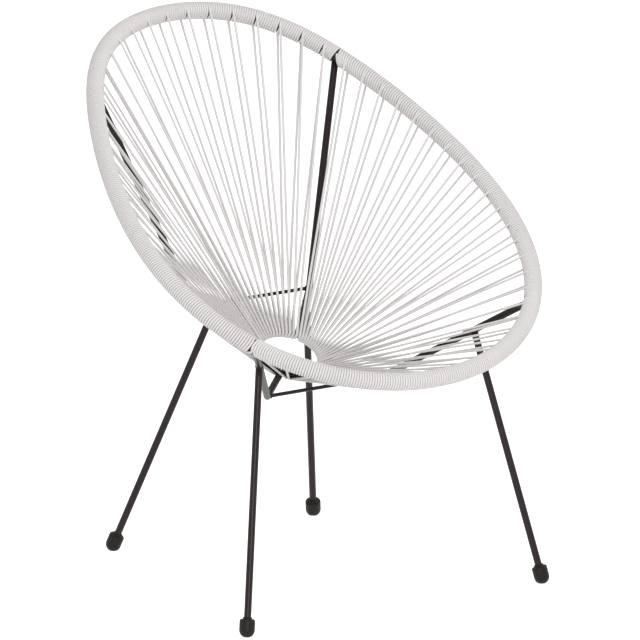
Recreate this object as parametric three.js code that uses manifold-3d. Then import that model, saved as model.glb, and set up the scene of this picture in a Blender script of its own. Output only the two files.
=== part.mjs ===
// Acapulco chair: a sloped egg-shaped rim of steel tube wound with plastic cord, a small seat ring,
// four bent ribs and four legs of steel rod, two crossbars, four rubber foot caps, and the cord
// strung in 62 pairs from the rim to the ring.
// Millimetres. +Z is up, the front is -Y, +X is to the right seen from the front, and the origin
// lies on the floor under the middle of the rim.

import * as THREE from "three";
import { mergeVertices } from "three/addons/utils/BufferGeometryUtils.js";
import Module from "manifold-3d";

const wasm = await Module();
wasm.setup();

const QUARTER_TURN = Math.PI / 2;

// Clearance between two pieces that touch on the real chair
const SEAT_GAP = 0.3;

// Rim: centre line of the tube, measured in its own sloped plane
const RIM_HALF_WIDTH = 344;
const RIM_HALF_LENGTH = 457;
const RIM_MID_HEIGHT = 648;
const RIM_TUBE_RADIUS = 11.2;
const RIM_SLOPE = THREE.MathUtils.degToRad(30.1);
// The egg: its blunt end is the front, its widest place lies forward of the middle
const EGG_WIDTH_SHARES = [1, 0.19, 0.07];
const EGG_BLUNT_SHARE = 0.14;
const EGG_END_SHARE = 0.02;
// Where the ribs meet the rim, as shares of its length from the middle of the front
const FRONT_JOINT_SHARE = 0.124;
const REAR_JOINT_SHARE = 0.382;

// Seat ring: a rod bent to a circle that slopes forward
const RING_RADIUS = 56;
const RING_ROD_RADIUS = 4;
const RING_BACK = 38;
const RING_HEIGHT = 363;
const RING_SLOPE = THREE.MathUtils.degToRad(27);
// Each rib meets the ring this far from its front or rear middle
const RING_JOINT_ANGLE = Math.PI / 4;

// Ribs: rods bent once, at these places on the right side; heights are counted from the ring
const RIB_RADIUS = 6;
const RIB_BEND_RADIUS = 14;
const FRONT_BEND_SIDE = 111;
const FRONT_BEND_FORWARD = 67;
const FRONT_BEND_DROP = 33;
const REAR_BEND_SIDE = 114;
const REAR_BEND_BACK = 152;
const REAR_BEND_RISE = 73;

// Crossbars between the bends of the front ribs and of the rear ribs
const CROSSBAR_RADIUS = 3.2;

// Legs: straight rods from the ribs to the floor
const LEG_RADIUS = 6;
const FRONT_FOOT_SIDE = 291;
const FRONT_FOOT_FORWARD = 284;
const REAR_FOOT_SIDE = 200;
const REAR_FOOT_BACK = 272;
// Where a leg meets its rib: along the front rib's upper arm, and along the rear rib's lower arm
const FRONT_LEG_SHARE = 0.38;
const REAR_LEG_SHARE = 0.26;

// Foot caps: rubber, round below, cut flat where they stand
const CAP_RADIUS = 13;
const CAP_DOME_HEIGHT = 11;
const CAP_BODY_LENGTH = 18;
const CAP_SHOULDER_RADIUS = 4;
const CAP_COLLAR_RADIUS = 7.8;
const CAP_COLLAR_LENGTH = 3;
const CAP_SOCKET_FLOOR = 2;

// Cord: round plastic cord, wound on the rim and strung to the ring and back
const CORD_RADIUS = 1.8;
const PAIR_OFFSET = 10;
const RIB_TO_LOOP_ANGLE = THREE.MathUtils.degToRad(9.8);
const ARCS = 4;
const SECTORS_PER_ARC = 4;
// Pairs of strands in each sector of the front, right, back and left arcs
const SECTOR_PAIRS = [
  [4, 4, 4, 4],
  [4, 4, 4, 4],
  [4, 3, 3, 4],
  [4, 4, 4, 4],
];
const TURNS_PER_SECTOR = 3;
const RIDGE_DEPTH_SHARE = 0.5;
// A strand leaves the winding this far above or below the side that faces the ring
const EXIT_ANGLE = THREE.MathUtils.degToRad(55);

// Facets
const RIM_DIVISIONS = 1600;
const RIM_TUBE_SIDES = 10;
const STEPS_PER_SECTOR = 4;
const WRAP_SIDES = 8;
const RING_STEPS = 32;
const RING_ROD_SIDES = 8;
const ROD_SIDES = 10;
const BEND_STEPS = 4;
const CORD_SIDES = 4;
const LOOP_BENDS = 3;
const CAP_SIDES = 12;
const DOME_STEPS = 4;
const SHOULDER_STEPS = 2;

// A cut or a coped end runs past what it cuts by this much
const OVERRUN = 30;

const steelBlack = () =>
  new THREE.MeshStandardMaterial({ color: 0x2b2826, roughness: 0.5, metalness: 0.6 });
const cordWhite = () =>
  new THREE.MeshStandardMaterial({ color: 0xe9e6e2, roughness: 0.55, metalness: 0 });
const rubberBlack = () =>
  new THREE.MeshStandardMaterial({ color: 0x232121, roughness: 0.8, metalness: 0 });

const vector = (x, y, z) => new THREE.Vector3(x, y, z);
const along = (from, to, share) => from.clone().lerp(to, share);
const mirrored = (point, side) => vector(point.x * side, point.y, point.z);
// The circumradius that keeps a regular polygon outside a circle
const outside = (radius, sides) => radius / Math.cos(Math.PI / sides);

// Solids

// A closed mesh from points and triangles, turned so that its faces point out
function closedGeometry(points, triangles) {
  let sixVolumes = 0;
  for (const [a, b, c] of triangles) {
    sixVolumes += points[a].dot(points[b].clone().cross(points[c]));
  }
  const faces = sixVolumes < 0 ? triangles.map(([a, b, c]) => [a, c, b]) : triangles;
  const geometry = new THREE.BufferGeometry().setFromPoints(points);
  geometry.setIndex(faces.flat());
  return geometry;
}

function toSolid(geometry) {
  const bare = geometry.clone();
  bare.deleteAttribute("normal");
  bare.deleteAttribute("uv");
  const merged = mergeVertices(bare);
  return new wasm.Manifold(
    new wasm.Mesh({
      numProp: 3,
      vertProperties: Float32Array.from(merged.attributes.position.array),
      triVerts: Uint32Array.from(merged.index.array),
    }),
  );
}

function toGeometry(solid) {
  const mesh = solid.getMesh();
  const geometry = new THREE.BufferGeometry();
  geometry.setAttribute("position", new THREE.BufferAttribute(mesh.vertProperties, 3));
  geometry.setIndex(new THREE.BufferAttribute(mesh.triVerts, 1));
  geometry.computeVertexNormals();
  return geometry;
}

// The surface between rings of points, closed on itself along its length
function closedLoft(rings) {
  const sides = rings[0].length;
  const triangles = [];
  rings.forEach((ring, i) => {
    const next = (i + 1) % rings.length;
    ring.forEach((_, j) => {
      const beside = (j + 1) % sides;
      const a = i * sides + j;
      const b = i * sides + beside;
      const c = next * sides + j;
      const d = next * sides + beside;
      triangles.push([a, b, d], [a, d, c]);
    });
  });
  return closedGeometry(rings.flat(), triangles);
}

// A path with one station at each given point
class StationPath extends THREE.Curve {
  constructor(points) {
    super();
    this.points = points;
  }

  getPoint(t) {
    const last = this.points.length - 1;
    const place = THREE.MathUtils.clamp(t, 0, 1) * last;
    const i = Math.min(Math.floor(place), last - 1);
    return along(this.points[i], this.points[i + 1], place - i);
  }

  getUtoTmapping(u) {
    return u;
  }
}

function polygonShape(radius, sides) {
  const corners = [];
  for (let i = 0; i < sides; i += 1) {
    const angle = (i / sides) * 2 * Math.PI;
    corners.push(new THREE.Vector2(radius * Math.cos(angle), radius * Math.sin(angle)));
  }
  return new THREE.Shape(corners);
}

function tubeAlong(points, radius, sides) {
  return new THREE.ExtrudeGeometry(polygonShape(radius, sides), {
    steps: points.length - 1,
    bevelEnabled: false,
    extrudePath: new StationPath(points),
  });
}

// A straight rod between two points
const straightRod = (from, to, radius) => tubeAlong([from, to], radius, ROD_SIDES);

// The points of a rod bent once, with an arc between its two straight arms
function bentRodPoints(start, corner, end, bendRadius) {
  const toStart = start.clone().sub(corner).normalize();
  const toEnd = end.clone().sub(corner).normalize();
  const halfAngle = toStart.angleTo(toEnd) / 2;
  const setback = bendRadius / Math.tan(halfAngle);
  const middle = toStart.clone().add(toEnd).normalize();
  const centre = corner.clone().addScaledVector(middle, bendRadius / Math.sin(halfAngle));
  const arcStart = corner.clone().addScaledVector(toStart, setback).sub(centre);
  const axis = toEnd.clone().cross(toStart).normalize();
  const sweep = Math.PI - 2 * halfAngle;
  const points = [start];
  for (let i = 0; i <= BEND_STEPS; i += 1) {
    const turned = arcStart.clone().applyAxisAngle(axis, (sweep * i) / BEND_STEPS);
    points.push(turned.add(centre));
  }
  points.push(end);
  return points;
}

// Rim

class RimCurve extends THREE.Curve {
  constructor() {
    super();
    this.arcLengthDivisions = RIM_DIVISIONS;
    let widest = 0;
    for (let i = 0; i <= this.arcLengthDivisions; i += 1) {
      widest = Math.max(widest, this.widthShare((i / this.arcLengthDivisions) * Math.PI));
    }
    this.widest = widest;
  }

  widthShare(angle) {
    return EGG_WIDTH_SHARES.reduce((sum, share, i) => sum + share * Math.sin((i + 1) * angle), 0);
  }

  getPoint(t) {
    const angle = t * 2 * Math.PI;
    const side = (RIM_HALF_WIDTH * this.widthShare(angle)) / this.widest;
    const back =
      RIM_HALF_LENGTH *
      ((EGG_END_SHARE - 1) * Math.cos(angle) -
        EGG_END_SHARE * Math.cos(3 * angle) +
        EGG_BLUNT_SHARE * (1 - Math.cos(2 * angle)));
    return vector(
      side,
      back * Math.cos(RIM_SLOPE),
      RIM_MID_HEIGHT + back * Math.sin(RIM_SLOPE),
    );
  }
}

const rimCurve = new RimCurve();
const RIM_LENGTH = rimCurve.getLength();
const RIM_NORMAL = vector(0, -Math.sin(RIM_SLOPE), Math.cos(RIM_SLOPE));
const wholeTurn = (share) => share - Math.floor(share);

const rimPoint = (share) => rimCurve.getPointAt(wholeTurn(share));
const rimTangent = (share) => rimCurve.getTangentAt(wholeTurn(share));

// A point beside the rim's centre line: angle 0 points out of the egg, a quarter turn points up
function besideRim(share, angle, radius) {
  const outward = rimTangent(share).cross(RIM_NORMAL).normalize();
  return rimPoint(share)
    .addScaledVector(outward, radius * Math.cos(angle))
    .addScaledVector(RIM_NORMAL, radius * Math.sin(angle));
}

// The four arcs of the rim between the ribs, cut into sectors that are as long as their pairs need
const ARC_STARTS = [-FRONT_JOINT_SHARE, FRONT_JOINT_SHARE, REAR_JOINT_SHARE, 1 - REAR_JOINT_SHARE];
const ARC_ENDS = [...ARC_STARTS.slice(1), 1 - FRONT_JOINT_SHARE];
const arcShare = (arc, share) => THREE.MathUtils.lerp(ARC_STARTS[arc], ARC_ENDS[arc], share);
const pairsBefore = (arc, sectors) =>
  SECTOR_PAIRS[arc].slice(0, sectors).reduce((sum, pairs) => sum + pairs, 0);
const arcPairs = (arc) => pairsBefore(arc, SECTORS_PER_ARC);

function sectorShare(sector, share) {
  const arc = Math.floor(sector / SECTORS_PER_ARC);
  const inArc = sector % SECTORS_PER_ARC;
  const pairs = pairsBefore(arc, inArc) + share * SECTOR_PAIRS[arc][inArc];
  return arcShare(arc, pairs / arcPairs(arc));
}

const sectorLength = (sector) => RIM_LENGTH * (sectorShare(sector, 1) - sectorShare(sector, 0));

// The rim is faceted in straight steps: a point between two stations lies on the line between them
function onFacets(sector, share, pointAt) {
  const low = Math.min(Math.floor(share * STEPS_PER_SECTOR), STEPS_PER_SECTOR - 1);
  const station = (step) => pointAt(sectorShare(sector, step / STEPS_PER_SECTOR));
  return along(station(low), station(low + 1), share * STEPS_PER_SECTOR - low);
}

function rimRing(sector, share, radius, sides) {
  const ring = [];
  for (let i = 0; i < sides; i += 1) {
    const angle = (i / sides) * 2 * Math.PI;
    ring.push(onFacets(sector, share, (station) => besideRim(station, angle, radius)));
  }
  return ring;
}

function rimTube(radius) {
  const rings = [];
  for (let sector = 0; sector < ARCS * SECTORS_PER_ARC; sector += 1) {
    for (let step = 0; step < STEPS_PER_SECTOR; step += 1) {
      rings.push(rimRing(sector, step / STEPS_PER_SECTOR, radius, RIM_TUBE_SIDES));
    }
  }
  return closedLoft(rings);
}

// Seat ring

const RING_CENTRE = vector(0, RING_BACK, RING_HEIGHT);
const RING_ALONG = vector(0, Math.cos(RING_SLOPE), Math.sin(RING_SLOPE));
const RING_NORMAL = vector(0, -Math.sin(RING_SLOPE), Math.cos(RING_SLOPE));

// Angles go from the front middle of the ring towards +X, as shares do on the rim
const ringOutward = (angle) =>
  vector(Math.sin(angle), 0, 0).addScaledVector(RING_ALONG, -Math.cos(angle));
const ringTangent = (angle) => ringOutward(angle + QUARTER_TURN);
const ringPoint = (angle) => RING_CENTRE.clone().addScaledVector(ringOutward(angle), RING_RADIUS);

function seatRing(rodRadius) {
  const rings = [];
  for (let i = 0; i < RING_STEPS; i += 1) {
    const angle = (i / RING_STEPS) * 2 * Math.PI;
    const ring = [];
    for (let j = 0; j < RING_ROD_SIDES; j += 1) {
      const around = (j / RING_ROD_SIDES) * 2 * Math.PI;
      ring.push(
        ringPoint(angle)
          .addScaledVector(ringOutward(angle), rodRadius * Math.cos(around))
          .addScaledVector(RING_NORMAL, rodRadius * Math.sin(around)),
      );
    }
    rings.push(ring);
  }
  return closedLoft(rings);
}

// Ribs

const FRONT_RIB = {
  joint: rimPoint(FRONT_JOINT_SHARE),
  bend: vector(FRONT_BEND_SIDE, -FRONT_BEND_FORWARD, RING_HEIGHT - FRONT_BEND_DROP),
  ringEnd: ringPoint(RING_JOINT_ANGLE),
};
const REAR_RIB = {
  joint: rimPoint(REAR_JOINT_SHARE),
  bend: vector(REAR_BEND_SIDE, REAR_BEND_BACK, RING_HEIGHT + REAR_BEND_RISE),
  ringEnd: ringPoint(Math.PI - RING_JOINT_ANGLE),
};

function ribSolid(rib, side, radius) {
  const points = bentRodPoints(
    mirrored(rib.joint, side),
    mirrored(rib.bend, side),
    mirrored(rib.ringEnd, side),
    RIB_BEND_RADIUS,
  );
  return toSolid(tubeAlong(points, radius, ROD_SIDES));
}

// Rods and rings grown by the gap, for coping the ends that meet them
const grown = (radius, sides) => outside(radius + SEAT_GAP, sides);
const rimCutter = toSolid(rimTube(grown(RIM_TUBE_RADIUS, RIM_TUBE_SIDES)));
const ringCutter = toSolid(seatRing(grown(RING_ROD_RADIUS, RING_ROD_SIDES)));
const ribCutter = (rib, side) => ribSolid(rib, side, grown(RIB_RADIUS, ROD_SIDES));

const ribWithEnds = (rib, side) =>
  ribSolid(rib, side, RIB_RADIUS).subtract(rimCutter).subtract(ringCutter);

// The middle of a rib's bend, where the crossbar meets it
function bendMiddle(rib, side) {
  const points = bentRodPoints(rib.joint, rib.bend, rib.ringEnd, RIB_BEND_RADIUS);
  return mirrored(points[1 + BEND_STEPS / 2], side);
}

const crossbar = (rib) =>
  toSolid(straightRod(bendMiddle(rib, -1), bendMiddle(rib, 1), CROSSBAR_RADIUS))
    .subtract(ribCutter(rib, -1))
    .subtract(ribCutter(rib, 1));

// Legs and foot caps

const FRONT_LEG = {
  rib: FRONT_RIB,
  top: along(FRONT_RIB.joint, FRONT_RIB.bend, FRONT_LEG_SHARE),
  foot: vector(FRONT_FOOT_SIDE, -FRONT_FOOT_FORWARD, CAP_DOME_HEIGHT),
};
const REAR_LEG = {
  rib: REAR_RIB,
  top: along(REAR_RIB.bend, REAR_RIB.ringEnd, REAR_LEG_SHARE),
  foot: vector(REAR_FOOT_SIDE, REAR_FOOT_BACK, CAP_DOME_HEIGHT),
};
const LEG_END = CAP_SOCKET_FLOOR + SEAT_GAP;

function legSolid(leg, side) {
  const upward = leg.top.clone().sub(leg.foot).normalize();
  const bottom = leg.foot.clone().addScaledVector(upward, LEG_END);
  const rod = straightRod(mirrored(bottom, side), mirrored(leg.top, side), LEG_RADIUS);
  return toSolid(rod).subtract(ribCutter(leg.rib, side));
}

function arcPoints(centreX, centreY, radius, from, to, steps) {
  const points = [];
  for (let i = 0; i <= steps; i += 1) {
    const angle = THREE.MathUtils.lerp(from, to, i / steps);
    points.push(
      new THREE.Vector2(centreX + radius * Math.cos(angle), centreY + radius * Math.sin(angle)),
    );
  }
  return points;
}

// Half outline of a cap, with its dome's centre at the origin and its socket open at the top
function capOutline() {
  const shoulderX = CAP_RADIUS - CAP_SHOULDER_RADIUS;
  const shoulderY = CAP_BODY_LENGTH - CAP_SHOULDER_RADIUS;
  const top = CAP_BODY_LENGTH + CAP_COLLAR_LENGTH;
  const socket = grown(LEG_RADIUS, ROD_SIDES);
  const dome = arcPoints(0, 0, CAP_RADIUS, -QUARTER_TURN, 0, DOME_STEPS);
  dome[0].x = 0;
  return [
    ...dome,
    ...arcPoints(shoulderX, shoulderY, CAP_SHOULDER_RADIUS, 0, QUARTER_TURN, SHOULDER_STEPS),
    new THREE.Vector2(CAP_COLLAR_RADIUS, CAP_BODY_LENGTH),
    new THREE.Vector2(CAP_COLLAR_RADIUS, top),
    new THREE.Vector2(socket, top),
    new THREE.Vector2(socket, CAP_SOCKET_FLOOR),
    new THREE.Vector2(0, CAP_SOCKET_FLOOR),
  ];
}

function capSolid(leg, side) {
  const foot = mirrored(leg.foot, side);
  const upward = mirrored(leg.top, side).sub(foot).normalize();
  const cap = new THREE.LatheGeometry(capOutline(), CAP_SIDES);
  cap.applyQuaternion(new THREE.Quaternion().setFromUnitVectors(vector(0, 1, 0), upward));
  cap.translate(foot.x, foot.y, foot.z);
  const below = new THREE.BoxGeometry(2 * OVERRUN, 2 * OVERRUN, OVERRUN);
  below.translate(foot.x, foot.y, -OVERRUN / 2);
  return toSolid(cap).subtract(toSolid(below));
}

// Cord

const WIND_RADIUS = RIM_TUBE_RADIUS + SEAT_GAP + CORD_RADIUS;
const LOOP_RADIUS = RING_ROD_RADIUS + SEAT_GAP + CORD_RADIUS;
const CREST_RADIUS = WIND_RADIUS + CORD_RADIUS;
const VALLEY_RADIUS = CREST_RADIUS - RIDGE_DEPTH_SHARE * CORD_RADIUS;
const BORE_RADIUS = grown(RIM_TUBE_RADIUS, WRAP_SIDES);
// Inside the wall of the winding, clear of its bore and of its outer flats
const WALL_RADIUS = (BORE_RADIUS + VALLEY_RADIUS * Math.cos(Math.PI / WRAP_SIDES)) / 2;

// The winding of one sector: a sleeve on the rim tube with the cord's turns as one helical ridge
function windingSolid(sector) {
  const pullback = SEAT_GAP / 2 / sectorLength(sector);
  const place = (share) => THREE.MathUtils.lerp(pullback, 1 - pullback, share);
  const beside = (share, angle, radius) =>
    onFacets(sector, place(share), (station) => besideRim(station, angle, radius));
  const steps = TURNS_PER_SECTOR * WRAP_SIDES;
  const crestSteps = steps - WRAP_SIDES;
  const around = (step) => (step / WRAP_SIDES) * 2 * Math.PI;
  const points = [];
  const triangles = [];
  const add = (point) => points.push(point) - 1;
  const valley = [];
  const crest = [];
  for (let h = 0; h <= steps; h += 1) {
    valley.push(add(beside(h / steps, around(h), VALLEY_RADIUS)));
  }
  for (let h = 0; h <= crestSteps; h += 1) {
    const share = (h + WRAP_SIDES / 2) / steps;
    crest.push(add(beside(share, around(h), CREST_RADIUS)));
  }
  const quad = (a, b, c, d) => triangles.push([a, b, c], [a, c, d]);
  for (let h = 0; h < crestSteps; h += 1) {
    quad(valley[h], valley[h + 1], crest[h + 1], crest[h]);
    quad(crest[h], crest[h + 1], valley[h + WRAP_SIDES + 1], valley[h + WRAP_SIDES]);
  }
  triangles.push([valley[0], crest[0], valley[WRAP_SIDES]]);
  triangles.push([valley[crestSteps], valley[steps], crest[crestSteps]]);

  // Flat ends: the outer ring of each starts on the valley's own first or last point
  const endRing = (share, shared) => {
    const ring = [shared];
    for (let j = 1; j < WRAP_SIDES; j += 1) {
      ring.push(add(beside(share, around(j), VALLEY_RADIUS)));
    }
    return [...ring, shared];
  };
  const startRing = endRing(0, valley[0]);
  const finishRing = endRing(1, valley[steps]);
  for (let j = 0; j < WRAP_SIDES; j += 1) {
    if (j === 0) triangles.push([startRing[0], startRing[1], valley[1]]);
    else quad(startRing[j], startRing[j + 1], valley[j + 1], valley[j]);
    const low = crestSteps + j;
    if (j === WRAP_SIDES - 1) triangles.push([valley[low], valley[low + 1], finishRing[j]]);
    else quad(valley[low], valley[low + 1], finishRing[j + 1], finishRing[j]);
  }

  // Bore
  const bore = [];
  for (let i = 0; i <= STEPS_PER_SECTOR; i += 1) {
    const share = THREE.MathUtils.clamp(i / STEPS_PER_SECTOR, pullback, 1 - pullback);
    bore.push(rimRing(sector, share, BORE_RADIUS, WRAP_SIDES).map(add));
  }
  for (let j = 0; j < WRAP_SIDES; j += 1) {
    const next = (j + 1) % WRAP_SIDES;
    for (let i = 0; i < STEPS_PER_SECTOR; i += 1) {
      quad(bore[i][next], bore[i][j], bore[i + 1][j], bore[i + 1][next]);
    }
    quad(bore[0][j], bore[0][next], startRing[j + 1], startRing[j]);
    quad(bore[STEPS_PER_SECTOR][next], bore[STEPS_PER_SECTOR][j], finishRing[j], finishRing[j + 1]);
  }
  return toSolid(closedGeometry(points, triangles));
}

// Ring angle of a loop: the loops of an arc are spaced evenly between two ribs
function loopAngle(arc, loop) {
  const jointAngles = [-RING_JOINT_ANGLE, RING_JOINT_ANGLE, Math.PI - RING_JOINT_ANGLE];
  const starts = [...jointAngles, Math.PI + RING_JOINT_ANGLE];
  const ends = [...starts.slice(1), 2 * Math.PI - RING_JOINT_ANGLE];
  const share = loop / (arcPairs(arc) - 1);
  return THREE.MathUtils.lerp(starts[arc] + RIB_TO_LOOP_ANGLE, ends[arc] - RIB_TO_LOOP_ANGLE, share);
}

// Where a strand leaves the winding: its end inside the wall, then the point where it comes clear
function windingExit(sector, share, ringEnd, level) {
  const centre = onFacets(sector, share, rimPoint);
  const inward = ringEnd.clone().sub(centre).normalize();
  const up = inward.clone().cross(onFacets(sector, share, rimTangent)).normalize();
  const outward = inward
    .multiplyScalar(Math.cos(EXIT_ANGLE))
    .addScaledVector(up, level * Math.sin(EXIT_ANGLE));
  return [WALL_RADIUS, VALLEY_RADIUS + CORD_RADIUS].map((radius) =>
    centre.clone().addScaledVector(outward, radius),
  );
}

// One pair of strands: from the top of the winding over the ring, round it, and back underneath
function strandPoints(sector, pair) {
  const arc = Math.floor(sector / SECTORS_PER_ARC);
  const inArc = sector % SECTORS_PER_ARC;
  const angle = loopAngle(arc, pairsBefore(arc, inArc) + pair);
  const ringEnd = ringPoint(angle);
  const share = (pair + 0.5) / SECTOR_PAIRS[arc][inArc];
  const offset = PAIR_OFFSET / 2 / sectorLength(sector);
  const upper = windingExit(sector, share - offset, ringEnd, 1);
  const lower = windingExit(sector, share + offset, ringEnd, -1);
  const tangent = ringTangent(angle);
  const inward = ringEnd.clone().sub(onFacets(sector, share, rimPoint));
  inward.addScaledVector(tangent, -inward.dot(tangent)).normalize();
  const up = inward.clone().cross(tangent).normalize();
  const step = Math.PI / LOOP_BENDS;
  const bendRadius = outside(LOOP_RADIUS, 2 * LOOP_BENDS);
  const points = [...upper];
  for (let i = 0; i < LOOP_BENDS; i += 1) {
    const turn = (i + 0.5) * step;
    points.push(
      ringEnd
        .clone()
        .addScaledVector(up, bendRadius * Math.cos(turn))
        .addScaledVector(inward, bendRadius * Math.sin(turn)),
    );
  }
  points.push(...lower.reverse());
  return points;
}

// The rib at the start of each arc: front left, front right, rear right, rear left
const ribCutters = [
  ribCutter(FRONT_RIB, -1),
  ribCutter(FRONT_RIB, 1),
  ribCutter(REAR_RIB, 1),
  ribCutter(REAR_RIB, -1),
];

// A sector of the cord: its winding, notched round a rib beside it, and its pairs of strands
function cordSector(sector) {
  const arc = Math.floor(sector / SECTORS_PER_ARC);
  const inArc = sector % SECTORS_PER_ARC;
  let winding = windingSolid(sector);
  if (inArc === 0) winding = winding.subtract(ribCutters[arc]);
  if (inArc === SECTORS_PER_ARC - 1) winding = winding.subtract(ribCutters[(arc + 1) % ARCS]);
  const strands = [];
  for (let pair = 0; pair < SECTOR_PAIRS[arc][inArc]; pair += 1) {
    strands.push(toSolid(tubeAlong(strandPoints(sector, pair), CORD_RADIUS, CORD_SIDES)));
  }
  return wasm.Manifold.union([winding, ...strands]);
}

// The least gap between neighbouring strands, measured between the points of their loops
function leastLoopGap() {
  let least = Infinity;
  let before = [];
  SECTOR_PAIRS.flat().forEach((pairs, sector) => {
    for (let pair = 0; pair < pairs; pair += 1) {
      const here = strandPoints(sector, pair);
      for (const a of before) {
        for (const b of here) least = Math.min(least, a.distanceTo(b) - 2 * CORD_RADIUS);
      }
      before = here;
    }
  });
  return least;
}
console.log("least gap between loops on the seat ring, mm: " + leastLoopGap().toFixed(2));

// Assembly

const chair = new THREE.Group();

function place(name, geometry, material) {
  const mesh = new THREE.Mesh(geometry, material);
  mesh.name = name;
  chair.add(mesh);
}

const SIDES = [
  ["left", -1],
  ["right", 1],
];
const ENDS = [
  ["front", FRONT_RIB, FRONT_LEG],
  ["rear", REAR_RIB, REAR_LEG],
];

place("rim_tube", rimTube(RIM_TUBE_RADIUS), steelBlack());
place("seat_ring", seatRing(RING_ROD_RADIUS), steelBlack());
for (const [end, rib, leg] of ENDS) {
  place("crossbar_" + end, toGeometry(crossbar(rib)), steelBlack());
  for (const [sideName, side] of SIDES) {
    const where = end + "_" + sideName;
    place("rib_" + where, toGeometry(ribWithEnds(rib, side)), steelBlack());
    place("leg_" + where, toGeometry(legSolid(leg, side)), steelBlack());
    place("foot_cap_" + where, toGeometry(capSolid(leg, side)), rubberBlack());
  }
}
for (let sector = 0; sector < ARCS * SECTORS_PER_ARC; sector += 1) {
  const number = String(sector + 1).padStart(2, "0");
  place("seat_cord_" + number, toGeometry(cordSector(sector)), cordWhite());
}

export default chair;
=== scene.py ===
"""Acapulco chair: an egg-shaped steel rim wound with plastic cord, strung to a small ring in the
middle of the seat, on four bent ribs and four rod legs with rubber foot caps.

Metres, +Z up, the front towards -Y, the origin on the floor under the middle of the rim.
"""

import math

import bmesh
import bpy
import numpy as np
from mathutils import Matrix, Vector


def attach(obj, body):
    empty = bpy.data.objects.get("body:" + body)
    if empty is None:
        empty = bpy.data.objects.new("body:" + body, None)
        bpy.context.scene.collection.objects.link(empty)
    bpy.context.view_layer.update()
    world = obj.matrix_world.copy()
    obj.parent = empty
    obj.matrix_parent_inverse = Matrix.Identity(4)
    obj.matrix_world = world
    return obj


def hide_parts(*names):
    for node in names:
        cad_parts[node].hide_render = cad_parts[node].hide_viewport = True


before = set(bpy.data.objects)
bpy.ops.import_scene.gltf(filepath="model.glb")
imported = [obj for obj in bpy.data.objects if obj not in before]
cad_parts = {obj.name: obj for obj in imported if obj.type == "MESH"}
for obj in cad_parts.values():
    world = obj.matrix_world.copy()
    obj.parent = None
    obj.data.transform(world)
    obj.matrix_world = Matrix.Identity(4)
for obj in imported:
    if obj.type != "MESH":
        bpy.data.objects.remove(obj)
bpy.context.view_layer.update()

MM = 0.001

# Rim: an egg in a sloped plane
RIM_HALF_WIDTH = 344 * MM
RIM_HALF_LENGTH = 457 * MM
RIM_MID_HEIGHT = 648 * MM
RIM_TUBE_RADIUS = 11.2 * MM
RIM_SLOPE = math.radians(30.1)
EGG_WIDTH_SHARES = (1, 0.19, 0.07)
EGG_BLUNT_SHARE = 0.14
EGG_END_SHARE = 0.02
FRONT_JOINT_SHARE = 0.124
REAR_JOINT_SHARE = 0.382

# Seat ring
RING_RADIUS = 56 * MM
RING_ROD_RADIUS = 4 * MM
RING_CENTRE = np.array((0, 38 * MM, 363 * MM))
RING_SLOPE = math.radians(27)
RING_JOINT_ANGLE = math.radians(45)

# Ribs, crossbars and legs, given for the +X side
RIB_RADIUS = 6 * MM
RIB_BEND_RADIUS = 14 * MM
FRONT_BEND = np.array((111, -67, 330)) * MM
REAR_BEND = np.array((114, 152, 436)) * MM
CROSSBAR_RADIUS = 3.2 * MM
LEG_RADIUS = 6 * MM
CAP_DOME_HEIGHT = 11 * MM
FRONT_FOOT = np.array((291 * MM, -284 * MM, CAP_DOME_HEIGHT))
REAR_FOOT = np.array((200 * MM, 272 * MM, CAP_DOME_HEIGHT))
FRONT_LEG_SHARE = 0.38
REAR_LEG_SHARE = 0.26

# Foot caps
CAP_RADIUS = 13 * MM
CAP_BODY_LENGTH = 18 * MM
CAP_COLLAR_RADIUS = 7.8 * MM
CAP_COLLAR_LENGTH = 3 * MM

# Cord and its winding: four arcs of the rim between ribs, in the order front, +X side, back and
# -X side, each cut into sectors; turns are counted along an arc
CORD_RADIUS = 1.8 * MM
SEAT_GAP = 0.3 * MM
WIND_RADIUS = RIM_TUBE_RADIUS + SEAT_GAP + CORD_RADIUS
LOOP_RADIUS = RING_ROD_RADIUS + SEAT_GAP + CORD_RADIUS
RIB_TO_LOOP_ANGLE = math.radians(9.8)
ARCS = 4
SECTORS_PER_ARC = 4
SECTOR_PAIRS = ((4, 4, 4, 4), (4, 4, 4, 4), (4, 3, 3, 4), (4, 4, 4, 4))
ARC_PAIRS = tuple(sum(pairs) for pairs in SECTOR_PAIRS)
TURNS_PER_PAIR = (9, 9, 10, 9)
ARC_TURNS = tuple(pairs * turns for pairs, turns in zip(ARC_PAIRS, TURNS_PER_PAIR))
# The way in which each arc is wound: 1 with the share of the rim's length rising, -1 falling
ARC_WAYS = (1, -1, 1, 1)
# The cord is drawn a little wider than thick, and most of all where it bends tightly round the
# ring
STRAND_WIDENING = 1.18
WOUND_WIDENING = 1.19
LOOP_WIDENING = 1.39
STEPS_PER_TURN = 24
CORD_SIDES = 10

# Points nearer to each other than this are one point
SAME_PLACE = 0.01 * MM

FRONT_BACK = (("front", 0), ("rear", 1))
LEFT_RIGHT = (("left", -1), ("right", 1))


# Vectors

def unit(vectors):
    """Each vector divided by its own length."""
    vectors = np.asarray(vectors, float)
    return vectors / np.linalg.norm(vectors, axis=-1, keepdims=True)


def dot(a, b):
    """Dot product of each pair of vectors, kept as a column."""
    return np.sum(a * b, axis=-1, keepdims=True)


def square_to(vectors, axes):
    """Each vector less its part along an axis, made a unit vector."""
    return unit(vectors - dot(vectors, axes) * axes)


def between(a, b, share):
    """Points on the line from a to b."""
    share = np.asarray(share, float)[..., None]
    return a * (1 - share) + b * share


def mirrored(point, side):
    """The point itself, or its mirror image across the chair's middle."""
    return point * np.array((side, 1, 1))


# Meshes

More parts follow.
